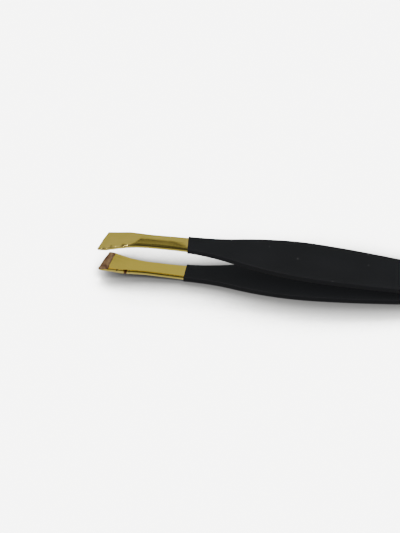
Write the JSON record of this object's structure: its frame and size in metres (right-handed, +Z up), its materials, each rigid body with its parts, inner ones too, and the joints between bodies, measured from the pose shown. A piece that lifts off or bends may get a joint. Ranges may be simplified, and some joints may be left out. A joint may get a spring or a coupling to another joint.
{
  "type": "slant tweezers",
  "caption": "Slant tweezers with a gold plated tip and a matt black soft touch handle, lying on one arm with the tips apart.",
  "frame": {"origin": "middle of the bounding box in plan, on the surface the tweezers lie on", "axes": "+X from the tips to the welded tail, +Y across the width away from the viewer, +Z up"},
  "size_m": [0.0954, 0.0114, 0.0128],
  "materials": {
    "gold_plated_steel": "polished gold plating over stainless steel",
    "bare_steel": "blasted, under the coat",
    "fused_steel": "as welded",
    "soft_touch_black": "matt soft touch coat"
  },
  "bodies": {
    "tail": {"upper_tail_tab": "bare_steel", "lower_tail_tab": "bare_steel", "front_spot_weld": "fused_steel", "rear_spot_weld": "fused_steel", "tail_coat": "soft_touch_black"},
    "upper_arm_body": {"upper_arm": "gold_plated_steel", "upper_handle_coat": "soft_touch_black"},
    "lower_arm_body": {"lower_arm": "gold_plated_steel", "lower_handle_coat": "soft_touch_black"}
  },
  "joints": [
    {"name": "upper_arm_flex", "type": "hinge", "parent": "tail", "child": "upper_arm_body", "pos_m": [0.02955, 0, 0.00438], "axis": [0, -1, 0], "range_deg": [0, 2.7], "stiffness_Nm_per_rad": 1.4},
    {"name": "lower_arm_flex", "type": "hinge", "parent": "tail", "child": "lower_arm_body", "pos_m": [0.02934, 0, 0.00104], "axis": [0, 1, 0], "range_deg": [0, 2.7], "stiffness_Nm_per_rad": 1.4}
  ],
  "couplings": [
    {"joint": "lower_arm_flex", "follows": "upper_arm_flex", "ratio": 1}
  ]
}
